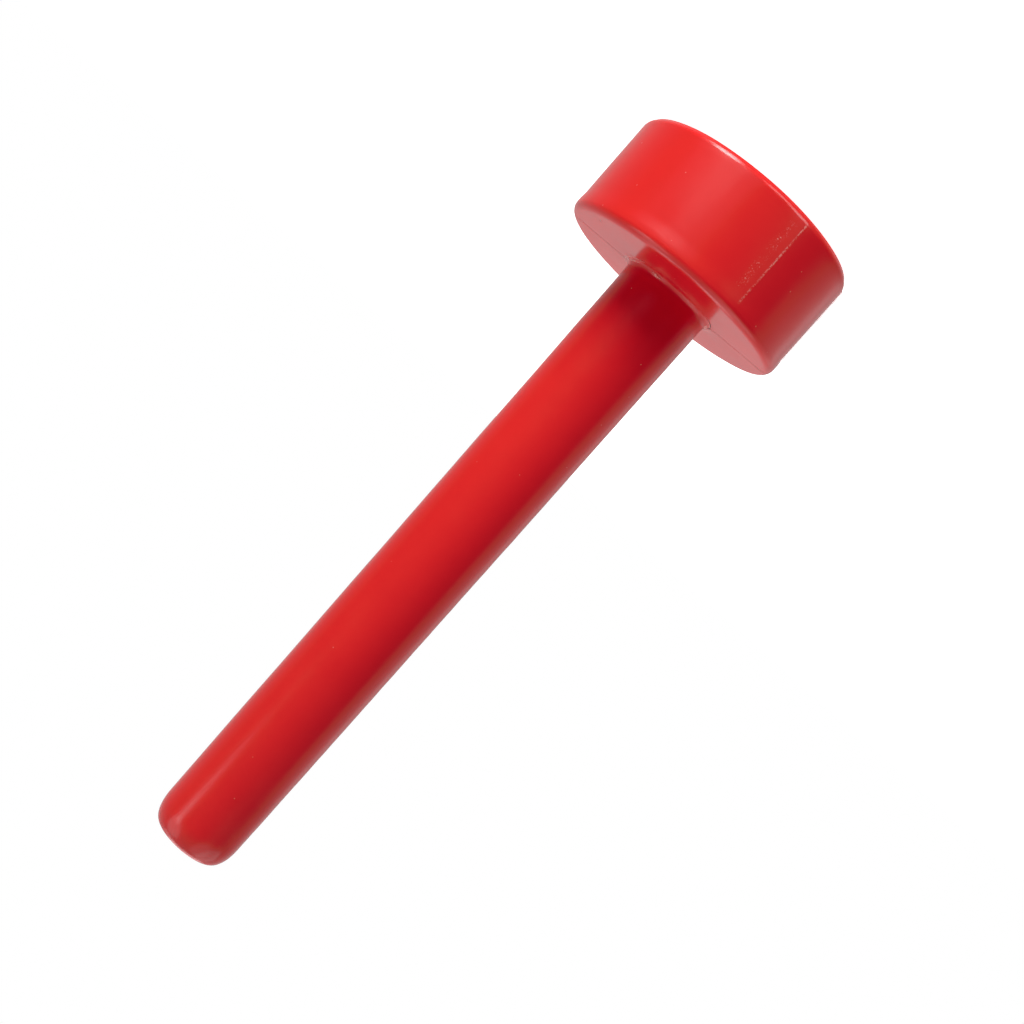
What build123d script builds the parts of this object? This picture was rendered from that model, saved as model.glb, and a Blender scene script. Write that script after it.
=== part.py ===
from build123d import *
import os

# Hand post driver: a heavy-wall steel tube goes down over the top of a rod post, and a solid
# steel head closes its far end and takes the blow.  One thick skin of moulded red vinyl
# covers everything but the bore.
#
# It stands on its head: the origin is the centre of the strike face, and +Z runs up the
# tube's axis to the open mouth.  All sizes are in millimetres.

# ---- driving dimensions ----
# striking head, cut from 3 in round bar
slug_diameter = 76.2
slug_thickness = 31.75
slug_edge_radius = 1.5
socket_depth = 6.35
socket_clearance = 0.12

# drive tube, 3/4 in schedule 160 pipe
tube_outside = 26.67
tube_inside = 15.6
tube_length = 236.6
tube_nose_radius = 4.0
mouth_chamfer = 1.0

# fillet weld that joins the tube to the head
weld_leg = 3.0

# moulded cover
cover_thickness = 1.9
mouth_skin_thickness = 1.15
lip_thickness = 1.3
head_edge_radius = 2.6
root_fillet_radius = 2.0
nose_round_radial = 3.4
nose_round_axial = 8.8

# ---- heights and radii that follow from them ----
slug_low = cover_thickness
slug_high = slug_low + slug_thickness
socket_floor = slug_high - socket_depth
tube_end = socket_floor + tube_length
head_height = slug_high + cover_thickness
mouth_height = tube_end + lip_thickness

slug_radius = slug_diameter / 2
tube_radius = tube_outside / 2
bore_radius = tube_inside / 2
head_radius = slug_radius + cover_thickness
root_radius = tube_radius + cover_thickness
nose_radius = tube_radius + mouth_skin_thickness
lip_hole_radius = tube_radius - tube_nose_radius


def turned(outline):
    """A solid of revolution about Z.  The outline is closed and drawn as (radius, height)."""
    return revolve(Plane.XZ * make_face(outline), Axis.Z)


def disc(radius, low, high):
    """A plain round bar on the Z axis, from one height to another."""
    return Pos(0, 0, (low + high) / 2) * Cylinder(radius, high - low)


def make_slug():
    """Solid head with its edges broken."""
    slug = disc(slug_radius, slug_low, slug_high)
    rims = slug.edges().filter_by(GeomType.CIRCLE)
    return fillet(rims, slug_edge_radius)


def make_tube_envelope():
    """Outside of the tube as a solid bar, with its free end rounded to a blunt nose."""
    bar = disc(tube_radius, socket_floor, tube_end)
    nose_edge = bar.edges().filter_by(GeomType.CIRCLE).sort_by(Axis.Z)[-1]
    return fillet(nose_edge, tube_nose_radius)


def make_root_weld():
    """Triangular fillet weld, lying on the head's face and against the tube."""
    corner = (tube_radius, slug_high)
    on_head = (tube_radius + weld_leg, slug_high)
    on_tube = (tube_radius, slug_high + weld_leg)
    return turned(Polyline(corner, on_head, on_tube, close=True))


def make_skin_envelope():
    """Outside of the cover as a solid: a head with rounded edges, a root fillet, and a
    shank that narrows a little towards its soft nose."""
    flat_radius = head_radius - head_edge_radius
    side_low = head_edge_radius
    side_high = head_height - head_edge_radius
    fillet_radius = root_radius + root_fillet_radius
    shank_low = head_height + root_fillet_radius
    nose_low = mouth_height - nose_round_axial
    nose_flat = nose_radius - nose_round_radial

    outline = [
        Line((0, 0), (flat_radius, 0)),
        RadiusArc((flat_radius, 0), (head_radius, side_low), -head_edge_radius),
        Line((head_radius, side_low), (head_radius, side_high)),
        RadiusArc((head_radius, side_high), (flat_radius, head_height), -head_edge_radius),
        Line((flat_radius, head_height), (fillet_radius, head_height)),
        RadiusArc((fillet_radius, head_height), (root_radius, shank_low), root_fillet_radius),
        Line((root_radius, shank_low), (nose_radius, nose_low)),
        EllipticalCenterArc((nose_flat, nose_low), nose_round_radial, nose_round_axial, arc_size=90),
        Line((nose_flat, mouth_height), (0, mouth_height)),
        Line((0, mouth_height), (0, 0)),
    ]
    return turned(outline)


def make_striking_head():
    """The head with the shallow socket that the tube stands in."""
    socket = disc(tube_radius + socket_clearance, socket_floor, slug_high)
    return make_slug() - socket


def make_drive_tube():
    """The tube, bored right through, with a chamfer in its mouth that guides the post in."""
    bore = disc(bore_radius, socket_floor, tube_end)
    cone_height = tube_end - mouth_chamfer / 2
    lead_in = Pos(0, 0, cone_height) * Cone(bore_radius, bore_radius + mouth_chamfer, mouth_chamfer)
    return make_tube_envelope() - bore - lead_in


def make_vinyl_cover():
    """Everything between the outer skin and the steel, with the mouth left open."""
    lip_hole = disc(lip_hole_radius, tube_end, mouth_height)
    return make_skin_envelope() - make_slug() - make_tube_envelope() - make_root_weld() - lip_hole


parts = {
    "striking_head": make_striking_head(),
    "drive_tube": make_drive_tube(),
    "root_weld": make_root_weld(),
    "vinyl_cover": make_vinyl_cover(),
}

os.makedirs("parts", exist_ok=True)
for name, solid in parts.items():
    export_step(solid, f"parts/{name}.step")
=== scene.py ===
from math import atan2, cos, exp, hypot, pi, radians, sin

import bmesh
import bpy
from mathutils import Matrix, Vector, noise


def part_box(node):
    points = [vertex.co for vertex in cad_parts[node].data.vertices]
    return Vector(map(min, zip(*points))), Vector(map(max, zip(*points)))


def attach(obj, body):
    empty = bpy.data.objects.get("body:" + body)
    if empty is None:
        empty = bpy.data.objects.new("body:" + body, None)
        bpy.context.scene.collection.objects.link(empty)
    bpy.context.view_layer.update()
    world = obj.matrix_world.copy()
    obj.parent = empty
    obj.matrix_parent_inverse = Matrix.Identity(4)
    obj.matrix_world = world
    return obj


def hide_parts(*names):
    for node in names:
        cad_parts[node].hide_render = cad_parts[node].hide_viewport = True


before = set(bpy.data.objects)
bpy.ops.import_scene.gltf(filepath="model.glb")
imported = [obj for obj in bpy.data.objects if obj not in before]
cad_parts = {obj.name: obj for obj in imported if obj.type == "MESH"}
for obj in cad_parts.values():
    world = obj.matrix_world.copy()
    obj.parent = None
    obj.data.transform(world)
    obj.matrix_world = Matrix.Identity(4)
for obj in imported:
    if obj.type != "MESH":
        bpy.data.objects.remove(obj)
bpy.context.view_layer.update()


# ---------------------------------------------------------------------------
# Vinyl cover.  One thick skin of soft red PVC, moulded over the finished steel
# tool in a two-half mould.  It wraps the head, rolls through a small fillet, and
# runs up the shank to a rounded nose that turns in at the tube's mouth.
# ---------------------------------------------------------------------------
cover_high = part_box("vinyl_cover")[1]
slug_low, slug_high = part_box("striking_head")
tube_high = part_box("drive_tube")[1]
weld_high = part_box("root_weld")[1]

head_radius = cover_high.x
slug_radius = slug_high.x
tube_radius = tube_high.x
skin = head_radius - slug_radius
root_radius = tube_radius + skin
head_top = slug_high.z + skin
mouth_top = cover_high.z

HEAD_EDGE = 0.0026  # rounding of both edges of the covered head
SLUG_EDGE = 0.0015  # rounding of the steel head inside it
ROOT_FILLET = 0.0020  # hollow rounding between the head's back and the shank
NOSE_SKIN = 0.00115  # the skin thins towards the mouth
NOSE_RADIAL = 0.0034  # the nose is a quarter of an ellipse
NOSE_AXIAL = 0.0088
TUBE_NOSE = 0.0040  # rounding of the steel tube's end
LIP_EDGE = 0.0006  # rounding of the lip's inner edge
EDGE_SPACING = 0.0018  # longest edge along the outside
SIXTH_STEPS = 60  # faces round each sixth of a turn
MERGE = 0.000001  # vertices closer than this are made one

nose_radius = tube_radius + NOSE_SKIN
lip_radius = tube_radius - TUBE_NOSE
rim_radius = (nose_radius - NOSE_RADIAL + lip_radius + LIP_EDGE) / 2


def outline(bm, corners):
    """Draws corners, given as (radius, height, rounding, segments), joins them in
    order and rounds each one.  Returns the vertices of the last rounding."""
    verts = [bm.verts.new((radius, 0, height)) for radius, height, _, _ in corners]
    for pair in zip(verts, verts[1:]):
        bm.edges.new(pair)
    arc = {"verts": []}
    for vert, (_, _, rounding, segments) in zip(verts, corners):
        if rounding:
            arc = bmesh.ops.bevel(
                bm, geom=[vert], offset=rounding, offset_type="OFFSET", segments=segments,
                profile=0.5, affect="VERTICES", material=-1,
            )
    return arc["verts"]


def outer_profile(bm):
    """The cover's outside from the strike face to the mouth, as half a section."""
    nose = outline(bm, [
        (0, 0, 0, 0),
        (head_radius, 0, HEAD_EDGE, 10),
        (head_radius, head_top, HEAD_EDGE, 10),
        (root_radius, head_top, ROOT_FILLET, 9),
        (nose_radius, mouth_top - NOSE_AXIAL, 0, 0),
        (nose_radius, mouth_top, NOSE_RADIAL, 18),
        (rim_radius, mouth_top, 0, 0),
    ])
    bmesh.ops.scale(
        bm, verts=nose, vec=(1, 1, NOSE_AXIAL / NOSE_RADIAL),
        space=Matrix.Translation((0, 0, -mouth_top)),
    )


def divide_long_edges(bm):
    """Cuts every long edge of a profile into even lengths."""
    for edge in list(bm.edges):
        cuts = round(edge.calc_length() / EDGE_SPACING) - 1
        if cuts > 0:
            bmesh.ops.subdivide_edges(bm, edges=[edge], cuts=cuts)


def turn_round(bm):
    """Spins a profile through a sixth of a turn, repeats that six times round the
    tool's axis, and closes the seams."""
    bmesh.ops.spin(
        bm, geom=bm.verts[:] + bm.edges[:], cent=(0, 0, 0), axis=(0, 0, 1),
        angle=pi / 3, steps=SIXTH_STEPS,
    )
    bmesh.ops.spin(
        bm, geom=bm.verts[:] + bm.edges[:] + bm.faces[:], cent=(0, 0, 0), axis=(0, 0, 1),
        angle=5 * pi / 3, steps=5, use_duplicate=True,
    )
    bmesh.ops.remove_doubles(bm, verts=bm.verts, dist=MERGE)
    bmesh.ops.recalc_face_normals(bm, faces=bm.faces)


def finished_piece(name, bm, material):
    """Makes the object, shades it smooth, and mounts it on the tool."""
    mesh = bpy.data.meshes.new(name)
    bm.to_mesh(mesh)
    bm.free()
    mesh.shade_smooth()
    mesh.materials.append(material)
    piece = bpy.data.objects.new(name, mesh)
    bpy.context.scene.collection.objects.link(piece)
    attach(piece, "root")
    return piece


# The witness line is the crest of a low ridge that an edge of the mould left down
# the head's side.  The skin falls away from it on both sides.
WITNESS_ANGLE = -114.8
WITNESS_HEIGHT = 0.00022
WITNESS_BEFORE = 0.0060  # how gently the skin falls away on each side
WITNESS_AFTER = 0.0050
WITNESS_WRAP = 0.0012  # how far it runs on round the strike face's edge
WITNESS_END = 0.0040  # how far short of the head's back it ends
WITNESS_FADE = 0.0020


def witness_ridge(place):
    """How far a point on the head's side lies under the crest of the witness line."""
    if hypot(place.x, place.y) < head_radius - WITNESS_WRAP or place.z > head_top:
        return 0.0
    turned = atan2(place.y, place.x) - radians(WITNESS_ANGLE)
    arc = ((turned + pi) % (2 * pi) - pi) * head_radius
    width = WITNESS_BEFORE if arc > 0 else WITNESS_AFTER
    fade = min(1.0, max(0.0, (head_top - WITNESS_END - place.z) / WITNESS_FADE))
    return WITNESS_HEIGHT * (exp(-abs(arc) / width) - 1) * fade


BROAD_WAVES = 0.00006
FINE_WAVES = 0.000012
WAVES_SINK = 0.00005  # keeps the crests under the nominal surface


def mould_waviness(place):
    """Slow unevenness of the skin, as soft vinyl has when it leaves the mould."""
    broad = noise.noise(place * 45.0) * BROAD_WAVES
    fine = noise.noise(place * 160.0 + Vector((7, 3, 1))) * FINE_WAVES
    return broad + fine - WAVES_SINK


SWELL_HEIGHT = 0.00022
SWELL_REACH = 0.0012  # from the shank to the middle of the swelling
SWELL_HALF_WIDTH = 0.0009
SWELL_TURN = -14  # degrees round to the first swelling; the other is at 180
SWELL_HALF_TURN = 0.35  # radians each way round the root
SWELL_LIMIT = 0.0060  # no swelling further out than this, or higher or lower
SWELL_DEPTH = 0.0035


def root_swell(place):
    """A little extra vinyl in the root fillet, on both sides of the shank where the
    two halves of the mould met."""
    reach = hypot(place.x, place.y) - root_radius
    if reach > SWELL_LIMIT or abs(place.z - head_top) > SWELL_DEPTH:
        return 0.0
    turn = atan2(place.y, place.x)
    side = min(abs(turn - radians(SWELL_TURN)), pi - abs(turn))
    ring = exp(-(((reach - SWELL_REACH) / SWELL_HALF_WIDTH) ** 2))
    lump = 1.0 + 0.6 * noise.noise(place * 700.0)
    return SWELL_HEIGHT * exp(-((side / SWELL_HALF_TURN) ** 2)) * ring * lump


RIM_FADE = 0.0010  # the unevenness dies out this far from the mouth's rim

bm = bmesh.new()
outer_profile(bm)
divide_long_edges(bm)
turn_round(bm)
bm.normal_update()
for vert in bm.verts:
    lift = mould_waviness(vert.co) + witness_ridge(vert.co) + root_swell(vert.co)
    if vert.co.z > mouth_top - NOSE_AXIAL:
        lift *= min(1.0, (hypot(vert.co.x, vert.co.y) - rim_radius) / RIM_FADE)
    vert.co += vert.normal * lift

# The lining lies against the steel, and meets the outside at the middle of the rim.
lining = bmesh.new()
outline(lining, [
    (rim_radius, mouth_top, 0, 0),
    (lip_radius, mouth_top, LIP_EDGE, 5),
    (lip_radius, tube_high.z, 0, 0),
    (tube_radius, tube_high.z, TUBE_NOSE, 6),
    (tube_radius, weld_high.z, 0, 0),
    (weld_high.x, slug_high.z, 0, 0),
    (slug_radius, slug_high.z, SLUG_EDGE, 4),
    (slug_radius, slug_low.z, SLUG_EDGE, 4),
    (0, slug_low.z, 0, 0),
])
turn_round(lining)
lining_mesh = bpy.data.meshes.new("cover_lining")
lining.to_mesh(lining_mesh)
lining.free()
bm.from_mesh(lining_mesh)
bpy.data.meshes.remove(lining_mesh)
bmesh.ops.remove_doubles(bm, verts=bm.verts, dist=MERGE)
bmesh.ops.recalc_face_normals(bm, faces=bm.faces)


def add_node(tree, kind, inputs=(), **settings):
    """Adds a node.  An input given as a socket is linked, and any other is set."""
    made = tree.nodes.new(kind)
    for key, value in settings.items():
        setattr(made, key, value)
    for key, value in dict(inputs).items():
        if isinstance(value, bpy.types.NodeSocket):
            tree.links.new(value, made.inputs[key])
        else:
            made.inputs[key].default_value = value
    return made


def maths(tree, operation, first, *others):
    """The result of a Math operation on one value, or carried on from value to value."""
    if not others:
        return add_node(tree, "ShaderNodeMath", {0: first}, operation=operation).outputs[0]
    for other in others:
        inputs = {0: first, 1: other}
        first = add_node(tree, "ShaderNodeMath", inputs, operation=operation).outputs[0]
    return first


def band(tree, value, low, high, start=0.0, end=1.0):
    """Maps a value smoothly from one range to another and holds it at both ends."""
    limits = {"Value": value, "From Min": low, "From Max": high, "To Min": start, "To Max": end}
    made = add_node(tree, "ShaderNodeMapRange", limits, interpolation_type="SMOOTHSTEP")
    return made.outputs["Result"]


def cloud(tree, place, scale, detail=2.0, roughness=0.5):
    """One Noise Texture's value at a place."""
    inputs = {"Vector": place, "Scale": scale, "Detail": detail, "Roughness": roughness}
    return add_node(tree, "ShaderNodeTexNoise", inputs).outputs["Fac"]


def tinted(tree, amount, first, second):
    """A colour that goes from the first to the second."""
    inputs = {"Factor": amount, "A": first, "B": second}
    return add_node(tree, "ShaderNodeMix", inputs, data_type="RGBA").outputs["Result"]


def new_material(name, metallic, ior):
    """A material, its node tree, its shader, and the Object coordinates it reads."""
    material = bpy.data.materials.new(name)
    material.use_nodes = True
    tree = material.node_tree
    shader = tree.nodes["Principled BSDF"]
    shader.inputs["Metallic"].default_value = metallic
    shader.inputs["IOR"].default_value = ior
    place = tree.nodes.new("ShaderNodeTexCoord").outputs["Object"]
    return material, tree, shader, place


def round_the_axis(tree, place):
    """Height, angle and distance round the tool's axis, for a pattern to follow."""
    x, y, z = add_node(tree, "ShaderNodeSeparateXYZ", {0: place}).outputs
    turn = maths(tree, "ARCTAN2", y, x)
    squares = maths(tree, "ADD", maths(tree, "MULTIPLY", x, x), maths(tree, "MULTIPLY", y, y))
    return z, turn, maths(tree, "SQRT", squares)


def finish_shader(tree, shader, colour, roughness, height, strength=1.0):
    """Gives the shader its colour, its roughness, and a relief height in metres."""
    inputs = {"Height": height, "Distance": 1.0, "Strength": strength}
    relief = add_node(tree, "ShaderNodeBump", inputs)
    tree.links.new(colour, shader.inputs["Base Color"])
    tree.links.new(roughness, shader.inputs["Roughness"])
    tree.links.new(relief.outputs["Normal"], shader.inputs["Normal"])


VINYL_RED = (0.83, 0.0235, 0.0230, 1)
VINYL_DEEP = (0.77, 0.0210, 0.0205, 1)
VINYL_SCUFF = (0.92, 0.42, 0.36, 1)
# Dark of the parting line, and of the painted shade in the root crease and the pinhole.
SEAM_DARK_AND_PAINTED_SHADE = (0.055, 0.012, 0.010, 1)

PARTING_ANGLE = 5.7  # degrees round to the plane where the two mould halves met
PINHOLE = (0.0293, -0.0174, head_top)
VINYL_IOR = 1.5

vinyl, tree, shader, place = new_material("red_vinyl", 0.0, VINYL_IOR)
z, turn, radius = round_the_axis(tree, place)


def dots(scale, size, share):
    """Small scattered dots, on a share of the cells of a Voronoi pattern."""
    cells = add_node(tree, "ShaderNodeTexVoronoi", {"Vector": place, "Scale": scale})
    lot = add_node(tree, "ShaderNodeSeparateColor", {0: cells.outputs["Color"]}).outputs[0]
    near = band(tree, cells.outputs["Distance"], size, size * 0.5)
    return maths(tree, "MULTIPLY", near, maths(tree, "LESS_THAN", lot, share))


def scuff_line(degrees, width, start, end, density):
    """A row of fine pale scuffs that runs down the head's side."""
    aside = maths(tree, "ABSOLUTE", maths(tree, "SUBTRACT", turn, radians(degrees)))
    near = band(tree, maths(tree, "MULTIPLY", aside, radius), width, 0.0)
    run_in = band(tree, z, start, start + 0.0015)
    run_out = band(tree, z, end, end - 0.002)
    flecks = band(tree, cloud(tree, place, 1900.0, 3.0, 0.7), 0.60 - density, 0.72 - density)
    patches = band(tree, cloud(tree, place, 160.0), 0.35, 0.65, 0.30, 0.95)
    on_side = maths(tree, "GREATER_THAN", radius, head_radius - 0.0008)
    return maths(tree, "MULTIPLY", near, run_in, run_out, flecks, patches, on_side)


# Marks: pale specks, pits, scuffs along the witness line, and dark paint in three places:
# a dark parting line on the head's back, and painted shade in a crease at the root and in a
# pinhole.
specks = dots(230.0, 0.055, 0.42)
pits = dots(420.0, 0.055, 0.22)
fine_scuffs = scuff_line(WITNESS_ANGLE, 0.00052, 0.0016, 0.0318, 0.15)
wide_scuffs = scuff_line(-109.8, 0.0021, 0.0035, 0.0290, 0.03)
scuffs = maths(tree, "ADD", fine_scuffs, wide_scuffs)

above = band(tree, z, head_top - 0.0030, head_top - 0.0005)
below = band(tree, z, head_top + 0.0030, head_top + 0.0020)
back = maths(tree, "MULTIPLY", above, below)
parting = Vector((-sin(radians(PARTING_ANGLE)), cos(radians(PARTING_ANGLE)), 0))
across = add_node(tree, "ShaderNodeVectorMath", {0: place, 1: parting}, operation="DOT_PRODUCT")
off_line = maths(tree, "ABSOLUTE", across.outputs["Value"])
broken = band(tree, cloud(tree, place, 500.0, 3.0), 0.30, 0.60, 0.25, 0.85)
seam = maths(tree, "MULTIPLY", band(tree, off_line, 0.00030, 0.00005), back, broken)

# Painted shade: a dark curved line along the foot of the crease at the root, from -138 to -180
# degrees round, where shade falls.
spiral = {
    "Value": turn, "From Min": radians(-138), "From Max": radians(-180),
    "To Min": 0.0180, "To Max": 0.0166,
}
crease_radius = add_node(tree, "ShaderNodeMapRange", spiral).outputs["Result"]
off_crease = maths(tree, "ABSOLUTE", maths(tree, "SUBTRACT", radius, crease_radius))
crease_start = band(tree, turn, radians(-136), radians(-146))
crease = maths(tree, "MULTIPLY", band(tree, off_crease, 0.00026, 0.00006), back, crease_start)

# Painted shade: a dark spot that stands in for the shade inside the pinhole's pit. The bump
# sinks it a little as well.
from_hole = add_node(tree, "ShaderNodeVectorMath", {0: place, 1: PINHOLE}, operation="DISTANCE")
pinhole = band(tree, from_hole.outputs["Value"], 0.00045, 0.00020)
dark_seam_and_painted_shade = maths(tree, "MAXIMUM", seam, crease, pinhole)

colour = tinted(tree, cloud(tree, place, 70.0, 4.0), VINYL_DEEP, VINYL_RED)
colour = tinted(tree, maths(tree, "MULTIPLY", specks, 0.45), colour, VINYL_SCUFF)
# Darkens the parting line, and paints shade into the root crease and the pinhole.
colour = tinted(tree, maths(tree, "MULTIPLY", dark_seam_and_painted_shade, 0.85), colour, SEAM_DARK_AND_PAINTED_SHADE)
colour = tinted(tree, maths(tree, "MULTIPLY", scuffs, 0.75), colour, VINYL_SCUFF)
moulded_gloss = band(tree, cloud(tree, place, 110.0, 5.0, 0.6), 0.3, 0.75, 0.185, 0.235)
dulled = maths(tree, "MULTIPLY", maths(tree, "ADD", scuffs, dark_seam_and_painted_shade), 0.25)
height = maths(tree, "MULTIPLY", cloud(tree, place, 900.0, 2.0), 0.000006)
height = maths(tree, "ADD", height, maths(tree, "MULTIPLY", scuffs, 0.00003))
height = maths(tree, "SUBTRACT", height, maths(tree, "MULTIPLY", pits, 0.00005))
height = maths(tree, "SUBTRACT", height, maths(tree, "MULTIPLY", dark_seam_and_painted_shade, 0.00012))
finish_shader(tree, shader, colour, maths(tree, "ADD", moulded_gloss, dulled), height)

cover = finished_piece("cover_skin", bm, vinyl)
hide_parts("vinyl_cover")


# ---------------------------------------------------------------------------
# Parting flash.  A hair of the same vinyl that squeezed out between the two
# mould halves and was left on: it runs across the head's back, round both of
# its edges and up both sides of the shank, and is moulded in one with the skin.
# ---------------------------------------------------------------------------
FLASH_HALF_WIDTH = 0.00014
FLASH_HEIGHT = 0.00008
FLASH_THICKNESS = 0.00008
FLASH_SINK = 0.00002  # its two edges are let into the skin
FLASH_WANDER = 0.0003  # how far it strays sideways
FLASH_START = 0.0002
FLASH_END = mouth_top - 0.0010

bm = bmesh.new()
outer_profile(bm)
divide_long_edges(bm)
bare = [vert for vert in bm.verts if not FLASH_START <= vert.co.z <= FLASH_END]
bmesh.ops.delete(bm, geom=bare, context="VERTS")
bmesh.ops.translate(bm, verts=bm.verts, vec=(0, -FLASH_HALF_WIDTH, 0))
rail = bm.edges[:]
for _ in range(2):
    made = bmesh.ops.extrude_edge_only(bm, edges=rail)["geom"]
    moved = {item for item in made if isinstance(item, bmesh.types.BMVert)}
    bmesh.ops.translate(bm, verts=list(moved), vec=(0, FLASH_HALF_WIDTH, 0))
    rail = [edge for edge in bm.edges if moved.issuperset(edge.verts)]
bmesh.ops.rotate(bm, verts=bm.verts, matrix=Matrix.Rotation(radians(PARTING_ANGLE), 3, "Z"))
other_side = bmesh.ops.duplicate(bm, geom=bm.verts[:] + bm.edges[:] + bm.faces[:])["geom"]
turned = [item for item in other_side if isinstance(item, bmesh.types.BMVert)]
bmesh.ops.rotate(bm, verts=turned, matrix=Matrix.Rotation(pi, 3, "Z"))
bmesh.ops.recalc_face_normals(bm, faces=bm.faces)
bm.normal_update()
for vert in bm.verts:
    lift = mould_waviness(vert.co) + root_swell(vert.co) - FLASH_SINK
    on_crest = len(vert.link_faces) > 2
    if on_crest:
        lift += FLASH_HEIGHT * (0.8 + 0.5 * noise.noise(vert.co * 300.0))
    sideways = Vector((-vert.co.y, vert.co.x, 0)).normalized()
    wander = noise.noise(vert.co * 110.0) * FLASH_WANDER
    vert.co += vert.normal * lift + sideways * wander
bmesh.ops.solidify(bm, geom=bm.faces[:], thickness=FLASH_THICKNESS)

flash = finished_piece("parting_flash", bm, vinyl)


# ---------------------------------------------------------------------------
# Root curls.  Short thin curls of vinyl where the flash was pressed over beside
# the shank.  They are one with the skin and paler than it: bending has whitened
# them, and the pale tone is also a painted highlight for the glints on the root fillet.
# ---------------------------------------------------------------------------
# Each curl: its first and last angle in degrees, its distance from the axis at
# those two ends, and half of its width, in metres.
CURLS = [
    (9.0, -50.0, 0.0172, 0.0172, 0.00022),
    (7.0, -38.0, 0.0161, 0.0160, 0.00032),
    (-61.0, -73.0, 0.0157, 0.0156, 0.00042),
    (-162.0, -178.0, 0.0159, 0.0157, 0.00062),
    (-150.0, -188.0, 0.0170, 0.0167, 0.00020),
]
CURL_SIDES = 10
CURL_SPIN_RADIUS = 10  # the curls are spun on a big circle, then drawn in to the root
CURL_FLATNESS = 0.50
CURL_WANDER = 0.00014  # how far a curl strays in and out


def root_surface(reach):
    """Height and lean of the root fillet at a distance from the axis.  The lean is
    the sine of its slope: 0 on the head's back and 1 on the shank."""
    inside_fillet = max(0.0, ROOT_FILLET + root_radius - reach)
    height = head_top + ROOT_FILLET - max(0.0, ROOT_FILLET ** 2 - inside_fillet ** 2) ** 0.5
    return height, min(1.0, inside_fillet / ROOT_FILLET)


bm = bmesh.new()
for first, last, first_reach, last_reach, half_width in CURLS:
    start = radians(first)
    swing = radians(last - first)
    ring = bmesh.ops.create_circle(bm, segments=CURL_SIDES, radius=1.0)["verts"]
    bmesh.ops.rotate(bm, verts=ring, matrix=Matrix.Rotation(pi / 2, 3, "X"))
    bmesh.ops.translate(bm, verts=ring, vec=(CURL_SPIN_RADIUS, 0, 0))
    bmesh.ops.rotate(bm, verts=ring, matrix=Matrix.Rotation(start, 3, "Z"))
    edges = list({edge for vert in ring for edge in vert.link_edges})
    earlier_curls = set(bm.verts) - set(ring)
    bmesh.ops.spin(
        bm, geom=ring + edges, cent=(0, 0, 0), axis=(0, 0, 1), angle=swing,
        steps=max(12, int(abs(last - first))),
    )
    for vert in set(bm.verts) - earlier_curls:
        # How far along its curl the vertex lies, from 0 to 1, whichever way it swings.
        turn = atan2(vert.co.y, vert.co.x)
        run = ((turn - start) / swing) % (2 * pi / abs(swing))
        run = min(1.0, run) if run < 1.5 else 0.0

        # Where the curl's middle runs there, and how thick it is.
        reach = first_reach + (last_reach - first_reach) * run
        reach += CURL_WANDER * noise.noise(Vector((run * 2.5, first, 0.0)))
        size = half_width * sin(pi * min(0.98, max(0.02, run))) ** 0.5
        size *= 1.0 + 0.3 * noise.noise(Vector((run * 4.0, first, 5.0)))

        # The curl lies on the fillet, so its flat side leans as the fillet does.
        height, lean = root_surface(reach)
        level = (1.0 - lean ** 2) ** 0.5
        along = (hypot(vert.co.x, vert.co.y) - CURL_SPIN_RADIUS) * size
        proud = vert.co.z * size * CURL_FLATNESS
        out = reach + along * level + proud * lean
        vert.co = (out * cos(turn), out * sin(turn), height - along * lean + proud * level)
bmesh.ops.holes_fill(bm, edges=[edge for edge in bm.edges if edge.is_boundary])
bmesh.ops.recalc_face_normals(bm, faces=bm.faces)

# CURL_PALE is partly stress whitening and partly a painted highlight for the glints on the root
# fillet.
CURL_PINK = (0.88, 0.10, 0.09, 1)
CURL_PALE = (0.95, 0.36, 0.31, 1)

pale_vinyl, tree, shader, place = new_material("pale_vinyl", 0.0, VINYL_IOR)
# Paler in patches: stress whitening, and painted highlight standing in for glints on the
# fillet.
whitening_and_painted_glint = band(tree, cloud(tree, place, 1300.0, 3.0), 0.35, 0.65)
tree.links.new(tinted(tree, whitening_and_painted_glint, CURL_PINK, CURL_PALE), shader.inputs["Base Color"])
gloss = band(tree, cloud(tree, place, 800.0), 0.3, 0.7, 0.22, 0.34)
tree.links.new(gloss, shader.inputs["Roughness"])

curls = finished_piece("root_curls", bm, pale_vinyl)


# ---------------------------------------------------------------------------
# Striking head.  A solid round of mild steel, sawn from bar and faced in a
# lathe, with a shallow socket for the tube.  The vinyl hides all of it but the
# floor of the bore.
# ---------------------------------------------------------------------------
STEEL_IOR = 2.5
HEAD_GROOVE = 0.00035  # feed of the facing cut
HEAD_DARK = (0.36, 0.35, 0.34, 1)
HEAD_LIGHT = (0.50, 0.49, 0.48, 1)
HEAD_BLOOM = (0.20, 0.10, 0.05, 1)


def dress(node, material):
    """Puts a material on a piece that keeps its own mesh."""
    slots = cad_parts[node].data.materials
    slots.clear()
    slots.append(material)


head_steel, tree, shader, place = new_material("head_steel", 1.0, STEEL_IOR)
z, turn, radius = round_the_axis(tree, place)
cuts = maths(tree, "MULTIPLY", maths(tree, "ADD", radius, z), 2 * pi / HEAD_GROOVE)
bloom = band(tree, cloud(tree, place, 140.0, 8.0, 0.7), 0.60, 0.72)
colour = tinted(tree, cloud(tree, place, 55.0, 6.0, 0.6), HEAD_DARK, HEAD_LIGHT)
colour = tinted(tree, maths(tree, "MULTIPLY", bloom, 0.5), colour, HEAD_BLOOM)
gloss = band(tree, bloom, 0.0, 1.0, 0.30, 0.62)
height = maths(tree, "MULTIPLY", maths(tree, "SINE", cuts), 0.000006)
finish_shader(tree, shader, colour, gloss, height, 0.8)
dress("striking_head", head_steel)


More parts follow.
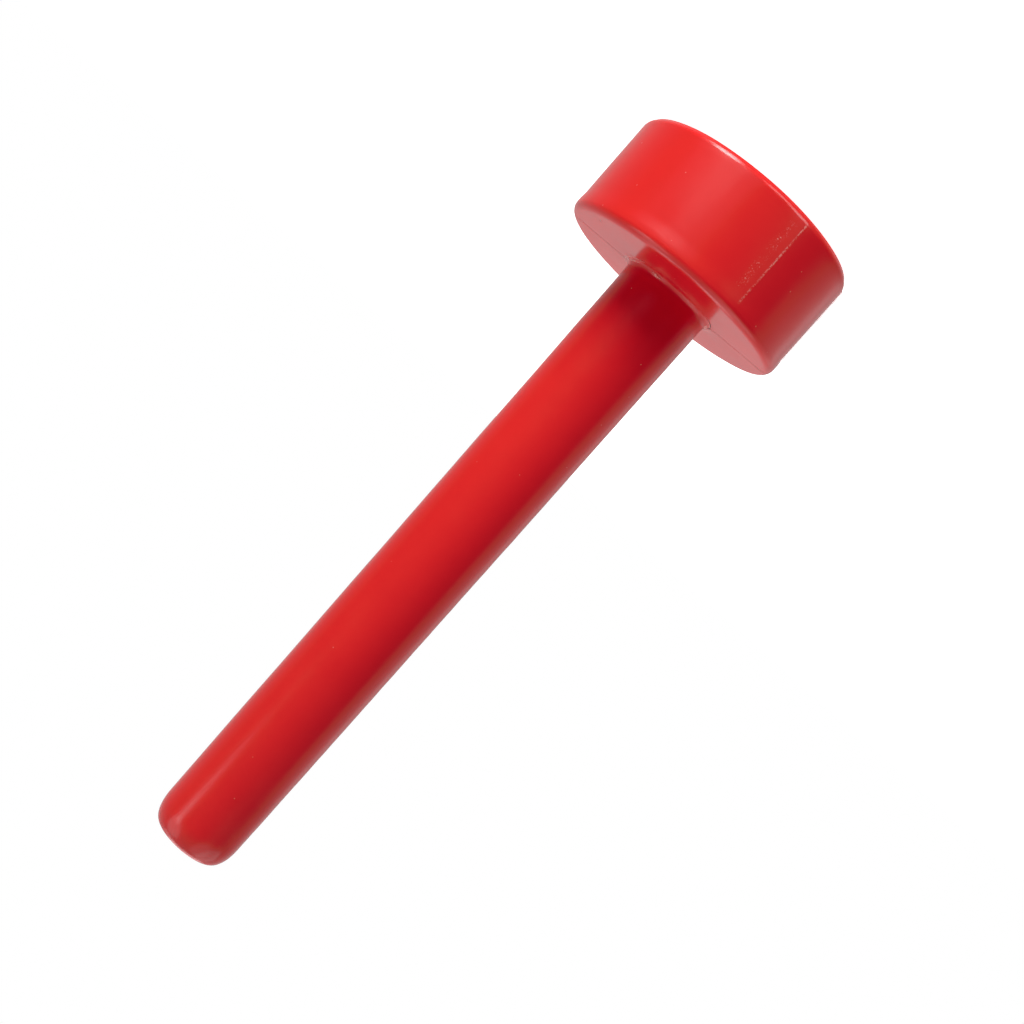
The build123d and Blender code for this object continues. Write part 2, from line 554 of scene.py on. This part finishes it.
# ---------------------------------------------------------------------------
# Drive tube.  Thick-walled black steel pipe, socketed and welded into the head,
# with its free end rounded over in a lathe.  Only its bore can be seen, dark
# with mill scale, and a bright turned lip at the mouth.
# ---------------------------------------------------------------------------
TURNED_END = 0.0040  # how far down from its end the tube is turned bright
TUBE_GROOVE = 0.00025
SCALE_DARK = (0.045, 0.043, 0.045, 1)
SCALE_LIGHT = (0.11, 0.105, 0.10, 1)
TUBE_RUST = (0.17, 0.07, 0.03, 1)
TUBE_BRIGHT = (0.52, 0.51, 0.50, 1)

tube_steel, tree, shader, place = new_material("tube_steel", 1.0, STEEL_IOR)
z, turn, radius = round_the_axis(tree, place)
turned_low = tube_high.z - TURNED_END
turned_end = band(tree, z, turned_low - 0.0005, turned_low)
drawn = {"Vector": place, "Scale": (1.0, 1.0, 0.08)}
drawn = add_node(tree, "ShaderNodeMapping", drawn).outputs["Vector"]
rust = band(tree, cloud(tree, place, 160.0, 8.0, 0.7), 0.56, 0.70)
scale = tinted(tree, cloud(tree, drawn, 420.0, 6.0, 0.6), SCALE_DARK, SCALE_LIGHT)
scale = tinted(tree, maths(tree, "MULTIPLY", rust, 0.7), scale, TUBE_RUST)
colour = tinted(tree, turned_end, scale, TUBE_BRIGHT)
gloss = band(tree, turned_end, 0.0, 1.0, 0.52, 0.28)
cuts = maths(tree, "SINE", maths(tree, "MULTIPLY", z, 2 * pi / TUBE_GROOVE))
height = maths(tree, "MULTIPLY", cuts, turned_end, 0.000004)
height = maths(tree, "ADD", height, maths(tree, "MULTIPLY", rust, 0.00002))
finish_shader(tree, shader, colour, gloss, height)
dress("drive_tube", tube_steel)


# ---------------------------------------------------------------------------
# Root weld.  One fillet bead run right round the tube where it enters the
# head, left as laid, with its ripples and a straw-to-blue heat tint.
# ---------------------------------------------------------------------------
WELD_RIPPLES = 64
WELD_STRAW = (0.40, 0.30, 0.17, 1)
WELD_BLUE = (0.20, 0.23, 0.34, 1)

weld_metal, tree, shader, place = new_material("weld_metal", 1.0, STEEL_IOR)
z, turn, radius = round_the_axis(tree, place)
round_bead = maths(tree, "MULTIPLY", turn, WELD_RIPPLES)
lean_back = maths(tree, "MULTIPLY", radius, 900.0)
ripple = maths(tree, "ADD", round_bead, lean_back, cloud(tree, place, 300.0, 3.0))
ripple = maths(tree, "SINE", ripple)
heat = band(tree, cloud(tree, place, 180.0, 3.0), 0.4, 0.6)
colour = tinted(tree, heat, WELD_STRAW, WELD_BLUE)
gloss = band(tree, ripple, -1.0, 1.0, 0.42, 0.30)
finish_shader(tree, shader, colour, gloss, maths(tree, "MULTIPLY", ripple, 0.00004))
dress("root_weld", weld_metal)


# ---------------------------------------------------------------------------
# Floor.  A plain white studio floor, on which the tool stands head down.  Only the
# camera sees it, because the soft lamps shine from below the head too.
# ---------------------------------------------------------------------------
FLOOR_HALF_SIZE = 3.0
FLOOR_GAP = 0.0002
FLOOR_GREY = (0.90, 0.90, 0.90, 1)
FLOOR_WHITE = (0.92, 0.92, 0.92, 1)

bm = bmesh.new()
bmesh.ops.create_grid(bm, x_segments=8, y_segments=8, size=FLOOR_HALF_SIZE)
bmesh.ops.translate(bm, verts=bm.verts, vec=(0, 0, -FLOOR_GAP))
mesh = bpy.data.meshes.new("floor")
bm.to_mesh(mesh)
bm.free()
floor = bpy.data.objects.new("floor", mesh)
bpy.context.scene.collection.objects.link(floor)
floor.visible_diffuse = False
floor.visible_glossy = False
floor.visible_transmission = False
floor.visible_shadow = False
floor_paint, tree, shader, place = new_material("floor_paint", 0.0, 1.45)
colour = tinted(tree, cloud(tree, place, 3.0), FLOOR_GREY, FLOOR_WHITE)
tree.links.new(colour, shader.inputs["Base Color"])
shader.inputs["Roughness"].default_value = 0.6
shader.inputs["Emission Color"].default_value = (1, 1, 1, 1)
shader.inputs["Emission Strength"].default_value = 1.0
mesh.materials.append(floor_paint)


# ---------------------------------------------------------------------------
# Studio light.  Round softboxes below and above the tool, soft panels beside and
# behind it, and a pale room that is brightest overhead and behind.  The camera
# itself sees the room as white.
# ---------------------------------------------------------------------------
LIGHT_CENTRE = Vector((0, 0, 0.13))
PANEL_DISTANCE = 1.1
# Azimuth and elevation in degrees, distance and diameter in metres, and radiance.
SOFTBOXES = [
    (-45, -42, 1.1, 0.45, 14.01),
    (-27, -58, 2.0, 0.82, 8.81),
    (-135, -42, 1.1, 0.45, 4.36),
    (-108, -58, 2.0, 0.82, 3.75),
    (-60, -28, 1.1, 0.45, 0.87),
    (-75, -28, 1.1, 0.45, 0.42),
    (-45, -28, 2.0, 0.82, 0.39),
    (-30, -28, 2.0, 0.82, 0.32),
    (-135, -28, 1.1, 0.45, 0.19),
    (-36, 45, 2.0, 1.40, 1.05),
    (-40, 29, 1.1, 0.30, 1.30),
    (-144, 45, 2.0, 1.40, 0.56),
    (180, 45, 2.0, 1.40, 0.79),
    (110, 72, 1.1, 0.80, 1.60),
    (20, 72, 1.1, 0.50, 0.79),
]
# Azimuth and elevation in degrees, width and height in metres, and radiance.
PANELS = [
    (180, 0, 0.28, 0.85, 0.222),
    (165, 0, 0.28, 0.85, 0.273),
    (150, 0, 0.28, 0.85, 0.264),
    (135, 0, 0.28, 0.85, 0.358),
    (-35, 28, 0.30, 0.10, 1.40),
]


def soft_light(name, azimuth, elevation, distance, lamp):
    """Places a lamp round the tool, in degrees, and points it at the middle."""
    across = cos(radians(elevation))
    offset = distance * Vector((
        across * cos(radians(azimuth)),
        across * sin(radians(azimuth)),
        sin(radians(elevation)),
    ))
    lit = bpy.data.objects.new(name, lamp)
    lit.location = LIGHT_CENTRE + offset
    lit.rotation_euler = (-offset).to_track_quat("-Z", "Y").to_euler()
    bpy.context.scene.collection.objects.link(lit)


for number, (azimuth, elevation, distance, diameter, radiance) in enumerate(SOFTBOXES):
    lamp = bpy.data.lights.new(f"softbox_{number}", "AREA")
    lamp.shape = "DISK"
    lamp.size = diameter
    lamp.energy = pi * (pi * diameter * diameter / 4) * radiance
    soft_light(f"softbox_{number}", azimuth, elevation, distance, lamp)
for number, (azimuth, elevation, width, height, radiance) in enumerate(PANELS):
    lamp = bpy.data.lights.new(f"panel_{number}", "AREA")
    lamp.shape = "RECTANGLE"
    lamp.size = width
    lamp.size_y = height
    lamp.energy = pi * width * height * radiance
    soft_light(f"panel_{number}", azimuth, elevation, PANEL_DISTANCE, lamp)

ROOM_OVERHEAD = 0.560
ROOM_BEHIND = 0.519
ROOM_EVEN = 0.035
BEHIND = (0.030, 0.998, 0.0565)

world = bpy.data.worlds.new("studio")
bpy.context.scene.world = world
world.use_nodes = True
tree = world.node_tree
heading = tree.nodes.new("ShaderNodeTexCoord").outputs["Generated"]


def glow(direction, power, strength):
    """Light that comes mostly from one direction of the room."""
    inputs = {0: heading, 1: direction}
    facing = add_node(tree, "ShaderNodeVectorMath", inputs, operation="DOT_PRODUCT")
    facing = maths(tree, "MAXIMUM", facing.outputs["Value"], 0.0)
    return maths(tree, "MULTIPLY", maths(tree, "POWER", facing, power), strength)


overhead = glow((0, 0, 1), 2.0, ROOM_OVERHEAD)
behind = glow(BEHIND, 1.0, ROOM_BEHIND)
room = maths(tree, "ADD", overhead, behind, ROOM_EVEN)
seen = tree.nodes.new("ShaderNodeLightPath").outputs["Is Camera Ray"]
strength = maths(tree, "MAXIMUM", room, seen)
backdrop = tree.nodes["Background"]
backdrop.inputs["Color"].default_value = (1, 1, 1, 1)
tree.links.new(strength, backdrop.inputs["Strength"])


# ---------------------------------------------------------------------------
# Camera.  Level with the shank and turned on its side, so the head lies to the
# upper right and the mouth to the lower left.  Its film is weak in the darkest
# greens, which deepens the dark reds.
# ---------------------------------------------------------------------------
camera_data = bpy.data.cameras.new("camera")
camera_data.sensor_width = 36
camera_data.lens = 47.778
camera_data.shift_x = 0.0898
camera = bpy.data.objects.new("camera", camera_data)
camera.location = (0, -0.42654, 0.11315)
camera.rotation_euler = (radians(-94.3091), radians(41.2111), radians(175.4097))
bpy.context.scene.collection.objects.link(camera)
bpy.context.scene.camera = camera
film = bpy.context.scene.view_settings
film.view_transform = "Standard"
film.use_curve_mapping = True
GREEN_TOE = [
    (0.0080, 0.0020),
    (0.0160, 0.0095),
    (0.0215, 0.0195),
    (0.0260, 0.0285),
    (0.0340, 0.0345),
    (0.0600, 0.0600),
    (0.3000, 0.3000),
]
green_curve = film.curve_mapping.curves[1]
for light_in, light_out in GREEN_TOE:
    green_curve.points.new(light_in, light_out)
film.curve_mapping.update()
